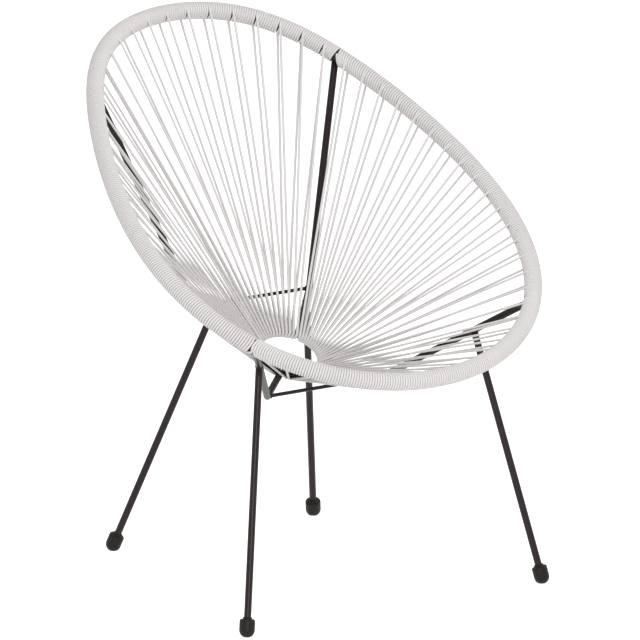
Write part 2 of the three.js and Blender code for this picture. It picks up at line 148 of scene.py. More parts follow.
def mesh_piece(name, points, faces, material, uv=None):
    """An object at the origin from arrays of points and of faces; each row of faces is one face."""
    mesh = bpy.data.meshes.new(name)
    counts = np.concatenate([np.full(len(group), group.shape[1]) for group in faces])
    loops = np.concatenate([group.ravel() for group in faces])
    mesh.vertices.add(len(points))
    mesh.vertices.foreach_set("co", np.asarray(points, np.float32).ravel())
    mesh.loops.add(len(loops))
    mesh.loops.foreach_set("vertex_index", loops.astype(np.int32))
    mesh.polygons.add(len(counts))
    starts = np.concatenate(([0], np.cumsum(counts)[:-1]))
    mesh.polygons.foreach_set("loop_start", starts.astype(np.int32))
    mesh.polygons.foreach_set("loop_total", counts.astype(np.int32))
    mesh.polygons.foreach_set("use_smooth", np.ones(len(counts), bool))
    if uv is not None:
        layer = mesh.uv_layers.new(name="UVMap")
        layer.data.foreach_set("uv", uv.astype(np.float32).ravel())
    mesh.update(calc_edges=True)
    mesh.validate()
    mesh.materials.append(material)
    piece = bpy.data.objects.new(name, mesh)
    bpy.context.scene.collection.objects.link(piece)
    return piece


def place_piece(piece, slot, *nodes):
    """Fixes a piece to the chair and hides the nodes that it stands for. The slot is not used."""
    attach(piece, "root")
    if nodes:
        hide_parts(*nodes)


def close_poles(piece):
    """Makes one point of points that share a place, and turns the faces outwards."""
    work = bmesh.new()
    work.from_mesh(piece.data)
    bmesh.ops.remove_doubles(work, verts=work.verts, dist=SAME_PLACE)
    bmesh.ops.recalc_face_normals(work, faces=work.faces)
    work.to_mesh(piece.data)
    work.free()


def angles_round(count):
    """Evenly spaced angles of one whole turn, from zero."""
    return np.arange(count) / count * 2 * math.pi


def grid_faces(rows, columns, close_rows=False):
    """Quads of a grid whose columns close on themselves; the rows close too where asked."""
    row = np.arange(rows if close_rows else rows - 1)[:, None]
    column = np.arange(columns)[None, :]
    beside = (column + 1) % columns
    after = (row + 1) % rows
    corners = (
        row * columns + column,
        row * columns + beside,
        after * columns + beside,
        after * columns + column,
    )
    return np.stack(np.broadcast_arrays(*corners), axis=-1).reshape(-1, 4)


def tube(path, outward, radius, sides, closed=False, widening=1.0):
    """A round or wide section carried along a path.

    A ring of points lies round each path point: path + radius (n cos a + w b sin a), with n the
    given outward vector made square to the path, b square to both and w the widening. Open ends
    are closed by a flat face each. UV is the length along the path in metres and the share of a
    turn round it.
    """
    path = np.asarray(path, float)
    if closed:
        ahead = np.roll(path, -1, axis=0) - np.roll(path, 1, axis=0)
    else:
        ahead = np.gradient(path, axis=0)
    ahead = unit(ahead)
    normal = square_to(outward, ahead)
    across = np.cross(ahead, normal)
    angle = angles_round(sides)
    radius = np.broadcast_to(radius, (len(path),))[:, None, None]
    across = across * np.broadcast_to(widening, (len(path),))[:, None]
    ring = normal[:, None] * np.cos(angle)[:, None] + across[:, None] * np.sin(angle)[:, None]
    points = (path[:, None] + ring * radius).reshape(-1, 3)
    quads = grid_faces(len(path), sides, close_rows=closed)
    steps = np.linalg.norm(np.diff(path, axis=0), axis=1)
    length = np.concatenate(([0], np.cumsum(steps)))
    rows = len(path) if closed else len(path) - 1
    following = np.concatenate((length[1:], [length[-1] + steps[-1]]))
    low_u = np.repeat(length[:rows], sides)
    high_u = np.repeat(following[:rows], sides)
    low_v = np.tile(np.arange(sides) / sides, rows)
    high_v = low_v + 1 / sides
    uv = np.stack((low_u, low_v, low_u, high_v, high_u, high_v, high_u, low_v), axis=-1)
    faces = [quads]
    uv = uv.reshape(-1, 2)
    if not closed:
        first = np.arange(sides)[::-1]
        last = np.arange(sides) + (len(path) - 1) * sides
        faces.append(np.stack((first, last)))
        uv = np.concatenate((uv, np.zeros((2 * sides, 2))))
    return points, faces, uv


# Materials

# Waves of each pattern in a millimetre, and how far up a cap the scuffs reach
TONE_PER_MM = 0.016
DIE_LINES_PER_MM = 0.04
DIE_LINES_ROUND = 6
PEEL_PER_MM = 0.62
STEEL_DUST_PER_MM = 0.045
SCUFFS_PER_MM = 0.26
SCUFF_HEIGHT = 6 * MM
# How narrow the painted shade along the cord's sides is
GROOVE_SHADE_POWER = 6
# The sRGB standard's curve: straight up to the knee, and a power above it
SRGB_KNEE = 0.04045
SRGB_SLOPE = 12.92
SRGB_OFFSET = 0.055
SRGB_POWER = 2.4
# Sockets of the Mix node for colours: its share, its two colours and its result
MIX_SHARE, MIX_FIRST, MIX_SECOND, MIX_RESULT = 0, 6, 7, 2
WHITE = (1, 1, 1, 1)


def linear(hex_colour):
    """An sRGB hex colour such as "E9E6E2" as linear red, green, blue and alpha."""
    channels = []
    for start in (0, 2, 4):
        share = int(hex_colour[start : start + 2], 16) / 255
        if share <= SRGB_KNEE:
            channels.append(share / SRGB_SLOPE)
        else:
            channels.append(((share + SRGB_OFFSET) / (1 + SRGB_OFFSET)) ** SRGB_POWER)
    return (*channels, 1)


def add_node(tree, kind, inputs=None, **settings):
    """One node with its settings; an input is a value or another node's output."""
    node = tree.nodes.new(kind)
    for key, value in settings.items():
        setattr(node, key, value)
    for socket, value in (inputs or {}).items():
        if isinstance(value, bpy.types.NodeSocket):
            tree.links.new(value, node.inputs[socket])
        else:
            node.inputs[socket].default_value = value
    return node


def new_material(name):
    """An empty material and its node tree."""
    material = bpy.data.materials.new(name)
    material.use_nodes = True
    material.node_tree.nodes.clear()
    return material, material.node_tree


def finish_material(tree, shader_output):
    """Joins the shader to the material's surface."""
    add_node(tree, "ShaderNodeOutputMaterial", {"Surface": shader_output})


def extruded_pvc_cord():
    """Soft PVC cord, extruded: off-white, semi-matt, with faint lengthwise die lines and a slight
    unevenness of tone from handling."""
    material, tree = new_material("extruded_pvc_cord")
    place = add_node(tree, "ShaderNodeTexCoord")
    # Tone drifts over about 60 mm
    tone = add_node(
        tree,
        "ShaderNodeTexNoise",
        {"Vector": place.outputs["Object"], "Scale": TONE_PER_MM / MM, "Detail": 3.0},
    )
    colour = add_node(
        tree,
        "ShaderNodeMix",
        {
            MIX_SHARE: tone.outputs["Fac"],
            MIX_FIRST: linear("DAD7D6"),
            MIX_SECOND: linear("E5E2E1"),
        },
        data_type="RGBA",
    )
    # The cord's sides, where it lies against its neighbours, are painted a little greyer as shade
    # in the grooves, and the free strands' sides too: the share of painted shade is a high power of
    # the sine of the angle round the cord
    round_cord = add_node(tree, "ShaderNodeSeparateXYZ", {"Vector": place.outputs["UV"]})
    angle = add_node(
        tree, "ShaderNodeMath", {0: round_cord.outputs["Y"], 1: 2 * math.pi}, operation="MULTIPLY"
    )
    side = add_node(tree, "ShaderNodeMath", {0: angle.outputs["Value"]}, operation="SINE")
    dust_and_shade = add_node(
        tree, "ShaderNodeMath", {0: side.outputs["Value"], 1: GROOVE_SHADE_POWER}, operation="POWER"
    )
    # Painted shade: the cord's sides are mixed towards a grey
    groove_shaded = add_node(
        tree,
        "ShaderNodeMix",
        {
            MIX_SHARE: dust_and_shade.outputs["Value"],
            MIX_FIRST: colour.outputs[MIX_RESULT],
            MIX_SECOND: linear("CCC8C7"),
        },
        data_type="RGBA",
    )
    # Die lines run along the cord: each is about 25 mm long and 2 mm wide, a sixth of the way
    # round
    stretch = add_node(
        tree,
        "ShaderNodeMapping",
        {"Vector": place.outputs["UV"], "Scale": (DIE_LINES_PER_MM / MM, DIE_LINES_ROUND, 1)},
    )
    lines = add_node(
        tree,
        "ShaderNodeTexNoise",
        {"Vector": stretch.outputs["Vector"], "Scale": 1.0, "Detail": 2.0},
    )
    bump = add_node(
        tree,
        "ShaderNodeBump",
        {"Height": lines.outputs["Fac"], "Strength": 0.12, "Distance": 0.1 * MM},
    )
    gloss = add_node(
        tree,
        "ShaderNodeMapRange",
        {"Value": lines.outputs["Fac"], "To Min": 0.5, "To Max": 0.62},
    )
    shader = add_node(
        tree,
        "ShaderNodeBsdfPrincipled",
        {
            "Base Color": groove_shaded.outputs[MIX_RESULT],
            "Roughness": gloss.outputs["Result"],
            "Specular IOR Level": 0.35,
            "Normal": bump.outputs["Normal"],
        },
    )
    finish_material(tree, shader.outputs["BSDF"])
    return material


def powder_coated_steel():
    """Black powder coat baked on mild steel: satin, warm black, with a fine orange-peel surface
    that breaks up the highlights."""
    material, tree = new_material("powder_coated_steel")
    place = add_node(tree, "ShaderNodeTexCoord")
    # Orange peel has waves of about 1 mm; drawn at 1.6 mm so that it shows
    peel = add_node(
        tree,
        "ShaderNodeTexNoise",
        {"Vector": place.outputs["Object"], "Scale": PEEL_PER_MM / MM, "Detail": 2.0},
    )
    # Dust dulls the coat in patches of about 22 mm
    dust_and_shade = add_node(
        tree,
        "ShaderNodeTexNoise",
        {"Vector": place.outputs["Object"], "Scale": STEEL_DUST_PER_MM / MM, "Detail": 4.0},
    )
    colour = add_node(
        tree,
        "ShaderNodeMix",
        {
            MIX_SHARE: dust_and_shade.outputs["Fac"],
            MIX_FIRST: linear("1C1413"),
            MIX_SECOND: linear("2A211F"),
        },
        data_type="RGBA",
    )
    gloss = add_node(
        tree,
        "ShaderNodeMapRange",
        {"Value": dust_and_shade.outputs["Fac"], "To Min": 0.3, "To Max": 0.42},
    )
    bump = add_node(
        tree,
        "ShaderNodeBump",
        {"Height": peel.outputs["Fac"], "Strength": 0.35, "Distance": 0.12 * MM},
    )
    shader = add_node(
        tree,
        "ShaderNodeBsdfPrincipled",
        {
            "Base Color": colour.outputs[MIX_RESULT],
            "Roughness": gloss.outputs["Result"],
            "Specular IOR Level": 0.22,
            "Normal": bump.outputs["Normal"],
        },
    )
    finish_material(tree, shader.outputs["BSDF"])
    return material


def moulded_rubber():
    """Black rubber, moulded: dull, slightly grey where it has rubbed the floor."""
    material, tree = new_material("moulded_rubber")
    place = add_node(tree, "ShaderNodeTexCoord")
    height = add_node(tree, "ShaderNodeSeparateXYZ", {"Vector": place.outputs["Object"]})
    # Scuffs are about 4 mm across
    scuff = add_node(
        tree,
        "ShaderNodeTexNoise",
        {"Vector": place.outputs["Object"], "Scale": SCUFFS_PER_MM / MM, "Detail": 5.0},
    )
    # They fade out from the floor up
    low = add_node(
        tree,
        "ShaderNodeMapRange",
        {
            "Value": height.outputs["Z"],
            "From Min": 0.0,
            "From Max": SCUFF_HEIGHT,
            "To Min": 0.9,
            "To Max": 0.0,
        },
    )
    worn = add_node(
        tree,
        "ShaderNodeMath",
        {0: low.outputs["Result"], 1: scuff.outputs["Fac"]},
        operation="MULTIPLY",
    )
    colour = add_node(
        tree,
        "ShaderNodeMix",
        {
            MIX_SHARE: worn.outputs["Value"],
            MIX_FIRST: linear("1C1615"),
            MIX_SECOND: linear("36302D"),
        },
        data_type="RGBA",
    )
    bump = add_node(
        tree,
        "ShaderNodeBump",
        {"Height": scuff.outputs["Fac"], "Strength": 0.2, "Distance": 0.2 * MM},
    )
    shader = add_node(
        tree,
        "ShaderNodeBsdfPrincipled",
        {
            "Base Color": colour.outputs[MIX_RESULT],
            "Roughness": 0.5,
            "Specular IOR Level": 0.2,
            "Normal": bump.outputs["Normal"],
        },
    )
    finish_material(tree, shader.outputs["BSDF"])
    return material


CORD_FINISH = extruded_pvc_cord()
STEEL_FINISH = powder_coated_steel()
RUBBER_FINISH = moulded_rubber()


# Rim curve

def egg(angle):
    """Side and back of the egg in its own plane, for angles counted from the middle of the front.

    Side is a sum of sines of 1, 2 and 3 times the angle with the width shares. Back is (E - 1)
    times the cosine, less E times the cosine of 3 times the angle for the ends' roundness, plus
    B times 1 less the cosine of twice the angle for the blunt front, with E and B the two shares.
    """
    side = sum(share * np.sin((i + 1) * angle) for i, share in enumerate(EGG_WIDTH_SHARES))
    back = (
        (EGG_END_SHARE - 1) * np.cos(angle)
        - EGG_END_SHARE * np.cos(3 * angle)
        + EGG_BLUNT_SHARE * (1 - np.cos(2 * angle))
    )
    return side, back


EGG_SAMPLES = 20000
RIM_NORMAL = np.array((0, -math.sin(RIM_SLOPE), math.cos(RIM_SLOPE)))
SAMPLE_ANGLES = np.linspace(0, 2 * math.pi, EGG_SAMPLES + 1)
WIDEST = egg(SAMPLE_ANGLES)[0].max()


def rim_at(angle):
    """Points of the rim's centre line: side times the half width over the egg's own widest side,
    and back times the half length, laid out along a plane that rises by the slope."""
    side, back = egg(angle)
    side = side * RIM_HALF_WIDTH / WIDEST
    back = back * RIM_HALF_LENGTH
    height = RIM_MID_HEIGHT + back * math.sin(RIM_SLOPE)
    return np.stack((side, back * math.cos(RIM_SLOPE), height), axis=-1)


SAMPLE_STEPS = np.linalg.norm(np.diff(rim_at(SAMPLE_ANGLES), axis=0), axis=1)
SAMPLE_LENGTHS = np.concatenate(([0], np.cumsum(SAMPLE_STEPS)))
RIM_LENGTH = SAMPLE_LENGTHS[-1]


def rim_frame(share):
    """Centre, tangent and outward vector of the rim at shares of its length from the front.

    The angle comes from the table of lengths, the tangent is the step between two near points,
    and outward is square to the tangent in the rim's plane.
    """
    angle = np.interp(np.mod(share, 1) * RIM_LENGTH, SAMPLE_LENGTHS, SAMPLE_ANGLES)
    small = 2 * math.pi / EGG_SAMPLES
    tangent = unit(rim_at(angle + small) - rim_at(angle - small))
    return rim_at(angle), tangent, unit(np.cross(tangent, RIM_NORMAL))


# Seat ring

RING_ALONG = np.array((0, math.cos(RING_SLOPE), math.sin(RING_SLOPE)))


def ring_outward(angle):
    """Unit vectors out of the ring, x sin a - y cos a, for angles a from its front middle towards
    +X, with y the ring's slope upwards to the back."""
    angle = np.asarray(angle, float)[..., None]
    return np.sin(angle) * np.array((1, 0, 0)) - np.cos(angle) * RING_ALONG


def ring_point(angle):
    """Points of the ring's centre line: its centre and its radius along the outward vector."""
    return RING_CENTRE + RING_RADIUS * ring_outward(angle)


# Ribs and what they carry

RIB_JOINT_SHARES = (FRONT_JOINT_SHARE, REAR_JOINT_SHARE)
RIB_JOINTS = tuple(rim_frame(np.array(share))[0] for share in RIB_JOINT_SHARES)
RIB_BENDS = (FRONT_BEND, REAR_BEND)
RIB_RING_ENDS = (ring_point(RING_JOINT_ANGLE), ring_point(math.pi - RING_JOINT_ANGLE))
LEG_TOPS = (
    between(RIB_JOINTS[0], FRONT_BEND, FRONT_LEG_SHARE),
    between(REAR_BEND, RIB_RING_ENDS[1], REAR_LEG_SHARE),
)
FEET = (FRONT_FOOT, REAR_FOOT)

# The four arcs of the rim between ribs: front, +X side, back, -X side
ARC_STARTS = (-FRONT_JOINT_SHARE, FRONT_JOINT_SHARE, REAR_JOINT_SHARE, 1 - REAR_JOINT_SHARE)
ARC_ENDS = (*ARC_STARTS[1:], 1 - FRONT_JOINT_SHARE)
RING_STARTS = (
    -RING_JOINT_ANGLE,
    RING_JOINT_ANGLE,
    math.pi - RING_JOINT_ANGLE,
    math.pi + RING_JOINT_ANGLE,
)
RING_ENDS = (*RING_STARTS[1:], 2 * math.pi - RING_JOINT_ANGLE)
# The rib at each arc's start, as front or rear and side
ARC_START_RIBS = ((0, -1), (0, 1), (1, 1), (1, -1))


# Cord

# Beside a rib the turns are pushed this far along the rim, on top of the rib's own lean, fading
# over the push length; the wedge that this opens between the two windings is narrower, the
# higher its power
RIB_PUSHES = {(0, -1): 10.5 * MM, (0, 1): 6.6 * MM, (1, 1): 8.4 * MM, (1, -1): 9.2 * MM}
WEDGE_POWERS = {(0, -1): 1, (0, 1): 3, (1, 1): 2, (1, -1): 3}
RIB_PUSH_LENGTH = 70 * MM
# Where a strand has left the winding, the turns beside its empty place lean into it
SLIT_LEAN = 1.3 * MM
SLIT_LEAN_TURNS = 2.5
QUARTER = 0.25
HALF = 0.5
# A loop slants: its top stands this share of the loops' spacing back, its underside ahead
LOOP_SLANT_SHARE = 0.25
# A strand leaves its turn on a short curve
ROOT_TURN = 0.05
ROOT_CURVE = 6 * MM
ROOT_STEPS = 5
STRAND_STEPS = 8
LOOP_STEPS = 16
# A strand widens into its loop over this length
LOOP_FLARE = 36 * MM
FLARE_STEPS = 6
# A loop that passes over the end of a rib clears it by this much
RIB_CLEARANCE = 0.15 * MM
# An end of cord is tucked under its neighbours over this share of a turn. Where an end is tucked
# at a joint, one of the two windings goes on past the rib by so many turns, and the other stops a
# quarter of a turn short of it.
TUCK_TURN = 0.14
TUCK_DEPTH = 1.5 * MM
OVER_JOINT_TURNS = 0.35
# The cord passes a rib early in its half turn across the joint
CROSSING_SHARE = 0.3
# A strand bows sideways by up to this much, by chance
STRAND_BOW = 0.5 * MM
SEED = 64
CHANCE = np.random.default_rng(SEED)


def along_arc(arc, turn):
    """Share of an arc at a count of turns; turn -1/4 lies at the rib where the winding starts."""
    share = (turn + QUARTER) / ARC_TURNS[arc]
    return share if ARC_WAYS[arc] > 0 else 1 - share


def arc_share(arc, turn):
    """Share of the rim's length at a count of turns."""
    return between(ARC_STARTS[arc], ARC_ENDS[arc], along_arc(arc, turn))[..., 0]


def exit_turn(arc, pair):
    """The whole turn at which a pair's upper strand leaves the top of the winding."""
    return math.floor((pair + HALF) * TURNS_PER_PAIR[arc])


def loop_count(arc, turn):
    """The count of loops along an arc, from zero at the middle of the first pair's place."""
    return along_arc(arc, turn) * ARC_PAIRS[arc] - HALF


def seat_angle(arc, loop):
    """Ring angle of a count of loops, evenly spaced and clear of the ribs."""
    start = RING_STARTS[arc] + RIB_TO_LOOP_ANGLE
    end = RING_ENDS[arc] - RIB_TO_LOOP_ANGLE
    return start + (end - start) * loop / (ARC_PAIRS[arc] - 1)


def rib_direction(rib, side):
    """Direction in which a rib leaves the rim."""
    return unit(mirrored(RIB_BENDS[rib], side) - mirrored(RIB_JOINTS[rib], side))


def rib_lean(which, rib_share):
    """How far along the rim a rib has leant by the time it leaves the winding: the winding's
    radius times the tangent of the angle between the rib and the rim's cross-section."""
    along = float(rib_direction(*which) @ rim_frame(np.array(rib_share))[1])
    return WIND_RADIUS * along / math.sqrt(1 - along**2)


def winding(arc, turn, radius=WIND_RADIUS):
    """Points of the winding and their outward vectors, for counts of turns along an arc.

    A point is the rim's centre plus the radius times (up cos t + inner sin t), with t the count of
    turns as an angle: a whole turn is on top, seen along the strand that would leave there, a
    quarter turn later the cord is on the side that faces the ring, and at half a turn it is
    underneath. Beside a rib the centre moves along the rim by the push, times f to the wedge's
    power, times e to the minus distance over the push length; f rises from 0 to 1 as the cord
    turns to the rib's side. Beside the empty place of a strand it moves towards that place by the
    slit's lean, on the side that faces the ring, and this fades in the same way over the turns.
    """
    turn = np.asarray(turn, float)
    share = arc_share(arc, turn)
    centre, tangent, _ = rim_frame(share)
    inward = unit(ring_point(seat_angle(arc, loop_count(arc, turn))) - centre)
    up = unit(np.cross(tangent, inward))
    inner = square_to(inward, tangent)
    phase = (2 * math.pi * turn)[:, None]
    outward = up * np.cos(phase) + inner * np.sin(phase)

    shift = np.zeros_like(turn)
    for rib, rib_share, sign in (
        (arc, ARC_STARTS[arc], 1),
        ((arc + 1) % ARCS, ARC_ENDS[arc], -1),
    ):
        from_rib = np.maximum((share - rib_share) * sign, 0) * RIM_LENGTH
        which = ARC_START_RIBS[rib]
        facing = (1 + dot(outward, rib_direction(*which))[:, 0]) / 2
        push = sign * RIB_PUSHES[which] + rib_lean(which, rib_share)
        shift += push * facing ** WEDGE_POWERS[which] * np.exp(-from_rib / RIB_PUSH_LENGTH)
    slits = np.array([exit_turn(arc, pair) for pair in range(ARC_PAIRS[arc])]) + QUARTER
    away = turn[:, None] - slits
    lean = np.sign(away) * np.exp(-np.maximum(np.abs(away) - 1, 0) / SLIT_LEAN_TURNS)
    lean = lean.sum(axis=1) * np.maximum(np.sin(phase[:, 0]), 0)
    shift -= ARC_WAYS[arc] * SLIT_LEAN * lean
    centre = rim_frame(share + shift / RIM_LENGTH)[0]
    return centre + outward * np.broadcast_to(radius, turn.shape)[:, None], outward


def turns_between(start, end):
    """Evenly spaced counts of turns, with about the set number of steps a turn."""
    count = max(2, round((end - start) * STEPS_PER_TURN) + 1)
    return np.linspace(start, end, count)


def bend_between(a, corner, b, steps):
    """A curve from a to b that the corner pulls towards itself: a (1 - s)^2 + 2 corner s (1 - s) +
    b s^2, without its first and last point."""
    share = (np.arange(1, steps) / steps)[:, None]
    return a * (1 - share) ** 2 + corner * 2 * share * (1 - share) + b * share**2


def ring_loop(arc, pair, root):
    """Half a turn of cord over, round the inside of, and under the seat ring.

    Seen from above the loops are spaced evenly all round the ring, and underneath they keep
    clear of the ribs, so a loop's ring angle changes from one to the other along its half turn:
    a + (b - a)(1 - cos t)/2. Its radius grows where it passes over the end of a rib.
    """
    turn = np.linspace(0, math.pi, LOOP_STEPS + 1)[:, None]
    start, end = RING_STARTS[arc], RING_ENDS[arc]
    place = pair if ARC_WAYS[arc] > 0 else ARC_PAIRS[arc] - 1 - pair
    above = start + (end - start) * (place + HALF - LOOP_SLANT_SHARE) / ARC_PAIRS[arc]
    below = seat_angle(arc, place + LOOP_SLANT_SHARE)
    angle = above + (below - above) * (1 - np.cos(turn)) / 2
    from_rib = RING_RADIUS * np.minimum(angle - start, end - angle)
    clear = RIB_RADIUS + CORD_RADIUS + RIB_CLEARANCE
    radius = np.maximum(LOOP_RADIUS, np.sqrt(np.maximum(clear**2 - from_rib**2, 0)))
    centre = ring_point(angle[:, 0])
    along = ring_outward(angle[:, 0] + math.pi / 2)
    inward = square_to(centre - root, along)
    up = unit(np.cross(along, inward))
    round_ring = up * np.cos(turn) + inward * np.sin(turn)
    return centre + radius * round_ring, round_ring, along


def strand_pair(arc, pair, drift):
    """A pair of strands with its loop: from the top of the winding over the ring, round the ring
    and back to the winding's underside.

    A strand leaves its turn on a short curve and runs straight from root to loop, but for a bow of
    drift times sin(pi s), with s the share of its length. It widens evenly over its last stretch
    before the loop. Gives the points, their outward vectors and their widening.
    """
    leave = exit_turn(arc, pair)
    enter = leave + HALF
    roots, root_out = winding(arc, (leave - ROOT_TURN, leave, enter, enter + ROOT_TURN))
    loop, round_ring, along = ring_loop(arc, pair, (roots[1] + roots[2]) / 2)

    pieces = []
    for root, before, target, outs, target_out, side, bow in (
        (roots[1], roots[0], loop[0], root_out[1], round_ring[0], along[0], drift[0]),
        (roots[2], roots[3], loop[-1], root_out[2], round_ring[-1], along[-1], drift[1]),
    ):
        length = np.linalg.norm(target - root)
        begin = ROOT_CURVE / length
        curve = bend_between(before, root, between(root, target, begin), ROOT_STEPS)
        share = np.concatenate(
            (
                np.linspace(begin, 1 - LOOP_FLARE / length, STRAND_STEPS, endpoint=False),
                np.linspace(1 - LOOP_FLARE / length, 1, FLARE_STEPS, endpoint=False),
            )
        )
        line = between(root, target, share)
        line += side * (bow * np.sin(math.pi * share))[:, None]
        out_line = unit(between(outs, target_out, share))
        out_curve = np.broadcast_to(outs, curve.shape)
        slim = np.linspace(WOUND_WIDENING, STRAND_WIDENING, len(curve))
        flare = np.maximum(0, 1 - (1 - share) * length / LOOP_FLARE)
        flare = STRAND_WIDENING + (LOOP_WIDENING - STRAND_WIDENING) * flare
        widening = np.concatenate((slim, flare))
        pieces.append(
            (np.concatenate((curve, line)), np.concatenate((out_curve, out_line)), widening)
        )
    (upper, upper_out, upper_wide), (lower, lower_out, lower_wide) = pieces
    path = np.concatenate((upper, loop, lower[::-1]))
    loop_wide = np.full(len(loop), LOOP_WIDENING)
    widening = np.concatenate((upper_wide, loop_wide, lower_wide[::-1]))
    return path, np.concatenate((upper_out, round_ring, lower_out[::-1])), widening


def wound(arc, start, end):
    """A stretch of winding between two counts of turns, with its outward vectors and widening."""
    points, outward = winding(arc, turns_between(start, end))
    return points, outward, np.full(len(points), WOUND_WIDENING)


def tucked_end(arc, start, end, at_start):
    """A stretch of winding that dives under its neighbours at its start or its end: its radius
    shrinks by the tuck's depth times (1 - q)^2, with q rising from 0 at the end to 1."""
    counts = turns_between(start, end)
    from_end = (counts - start if at_start else end - counts) / TUCK_TURN
    tuck = TUCK_DEPTH * (1 - np.clip(from_end, 0, 1)) ** 2
    points, outward = winding(arc, counts, WIND_RADIUS - tuck)
    return points, outward, np.full(len(points), WOUND_WIDENING)


def crossing(arc):
    """Half a turn over the outside of a rib's joint, from this arc's winding to the next one's.

    The cord changes from one winding to the other early on: the share of the second is
    s = 3 t^2 - 2 t^3, with t the share of the half turn over CROSSING_SHARE, at most one.
    """
    share = np.linspace(0, 1, STEPS_PER_TURN + 1)
    here, here_out = winding(arc, ARC_TURNS[arc] - HALF + share * HALF)
    there, there_out = winding((arc + 1) % ARCS, (share - 1) * HALF)
    early = np.minimum(share / CROSSING_SHARE, 1)[:, None]
    blend = 3 * early**2 - 2 * early**3
    points = here * (1 - blend) + there * blend
    outward = unit(here_out * (1 - blend) + there_out * blend)
    return points, outward, np.full(len(points), WOUND_WIDENING)


def joins_on(arc):
    """Whether the cord runs on from the end of this arc to the start of the next one."""
    return ARC_WAYS[arc] > 0 and ARC_WAYS[(arc + 1) % ARCS] > 0


def sector_cord(arc, place):
    """The cord of one sector of the seat: it winds, strings its pairs and winds on. Sectors are
    counted along the winding. Where the cord runs on into the next arc it crosses the joint, and
    elsewhere its end is tucked in there."""
    pairs_in_order = SECTOR_PAIRS[arc][:: ARC_WAYS[arc]]
    first_pair = sum(pairs_in_order[:place])
    pairs = range(first_pair, first_pair + pairs_in_order[place])
    turn = first_pair * TURNS_PER_PAIR[arc]
    run = []
    over = OVER_JOINT_TURNS if ARC_WAYS[arc] > 0 else -QUARTER
    if place == 0 and not joins_on((arc - 1) % ARCS):
        first = -QUARTER - over
        run.append(tucked_end(arc, first, first + HALF, at_start=True))
        turn = first + HALF
    for pair in pairs:
        leave = exit_turn(arc, pair)
        run.append(wound(arc, turn, leave - ROOT_TURN))
        run.append(strand_pair(arc, pair, CHANCE.uniform(-STRAND_BOW, STRAND_BOW, 2)))
        turn = leave + HALF + ROOT_TURN
    last = (pairs[-1] + 1) * TURNS_PER_PAIR[arc]
    if place < SECTORS_PER_ARC - 1:
        run.append(wound(arc, turn, last))
    elif joins_on(arc):
        run.append(wound(arc, turn, last - HALF))
        run.append(crossing(arc))
    else:
        end = last - QUARTER + over
        run.append(wound(arc, turn, end - HALF))
        run.append(tucked_end(arc, end - HALF, end, at_start=False))
    path = np.concatenate([points for points, _, _ in run])
    outward = np.concatenate([out for _, out, _ in run])
    widening = np.concatenate([wide for _, _, wide in run])
    # Where two stretches meet, the point they share is kept once
    apart = np.linalg.norm(np.diff(path, axis=0), axis=1) > SAME_PLACE
    keep = np.concatenate(([True], apart))
    path, outward, widening = path[keep], outward[keep], widening[keep]
    return tube(path, outward, CORD_RADIUS, CORD_SIDES, widening=widening)


def make_cords():
    """The 16 lengths of cord, one for each sector, in the order of the sectors round the rim."""
    for sector in range(ARCS * SECTORS_PER_ARC):
        arc, place = divmod(sector, SECTORS_PER_ARC)
        if ARC_WAYS[arc] < 0:
            place = SECTORS_PER_ARC - 1 - place
        points, faces, uv = sector_cord(arc, place)
        number = f"{sector + 1:02d}"
        piece = mesh_piece(f"wound_cord_{number}", points, faces, CORD_FINISH, uv)
        place_piece(piece, "cord", f"seat_cord_{number}")


# Steel

ROD_SIDES = 32
RIM_STEPS = 480
RING_STEPS = 120
RING_SIDES = 16
# A rib's two arms and its bend, a crossbar and a leg are cut into this many steps
UPPER_ARM_STEPS = 11
BEND_STEPS = 20
LOWER_ARM_STEPS = 7
CROSSBAR_STEPS = 11
LEG_STEPS = 23
# A rib's upper end reaches this far into the rim's tube, and its lower end stops this far short
# of the middle of the ring's rod
RIB_SINK = 1 * MM
RIB_STOP = 1 * MM
# A rod rises steeply where this share of its direction is upwards
STEEP_SHARE = 0.9
# Weld beads: their radius, and ripples that swell and shrink it by a share
RIM_WELD_RADIUS = 1.2 * MM
CROSSBAR_WELD_RADIUS = 1.5 * MM
LEG_WELD_RADIUS = 1 * MM
WELD_RIPPLES = 11
WELD_RIPPLE_SHARE = 0.12
WELD_STEPS = 66
WELD_SIDES = 10
# Where a rod leans far over, its seam is kept within this many radii of the rod that carries it
WELD_REACH = 3


def rod_piece(name, path, radius, node):
    """A round rod along a path of points, in steel finish."""
    ahead = unit(path[-1] - path[0])
    beside = (0, 0, 1.0) if abs(ahead[2]) < STEEP_SHARE else (0, 1.0, 0)
    reference = np.broadcast_to(np.cross(ahead, beside), path.shape)
    points, faces, uv = tube(path, reference, radius, ROD_SIDES)
    place_piece(mesh_piece(name, points, faces, STEEL_FINISH, uv), "frame", node)


def bent_path(start, corner, end, bend_radius):
    """Two straight arms joined by an arc of the bend radius, tangent to both.

    The arc is centre + (first sin((1 - s) w) + last sin(s w)) / sin w, with w the angle that it
    sweeps and first and last the vectors from the centre to its two ends.
    """
    to_start = unit(start - corner)
    to_end = unit(end - corner)
    half = math.acos(float(np.dot(to_start, to_end))) / 2
    setback = bend_radius / math.tan(half)
    centre = corner + unit(to_start + to_end) * bend_radius / math.sin(half)
    first = corner + to_start * setback - centre
    last = corner + to_end * setback - centre
    sweep = math.pi - 2 * half
    share = np.linspace(0, 1, BEND_STEPS + 1)
    weights = np.sin((1 - share) * sweep), np.sin(share * sweep)
    arc = (weights[0][:, None] * first + weights[1][:, None] * last) / math.sin(sweep)
    upper_shares = np.linspace(0, 1, UPPER_ARM_STEPS + 1)[:-1]
    lower_shares = np.linspace(0, 1, LOWER_ARM_STEPS + 1)[1:]
    upper_arm = between(start, corner + to_start * setback, upper_shares)
    lower_arm = between(corner + to_end * setback, end, lower_shares)
    return np.concatenate((upper_arm, centre + arc, lower_arm))


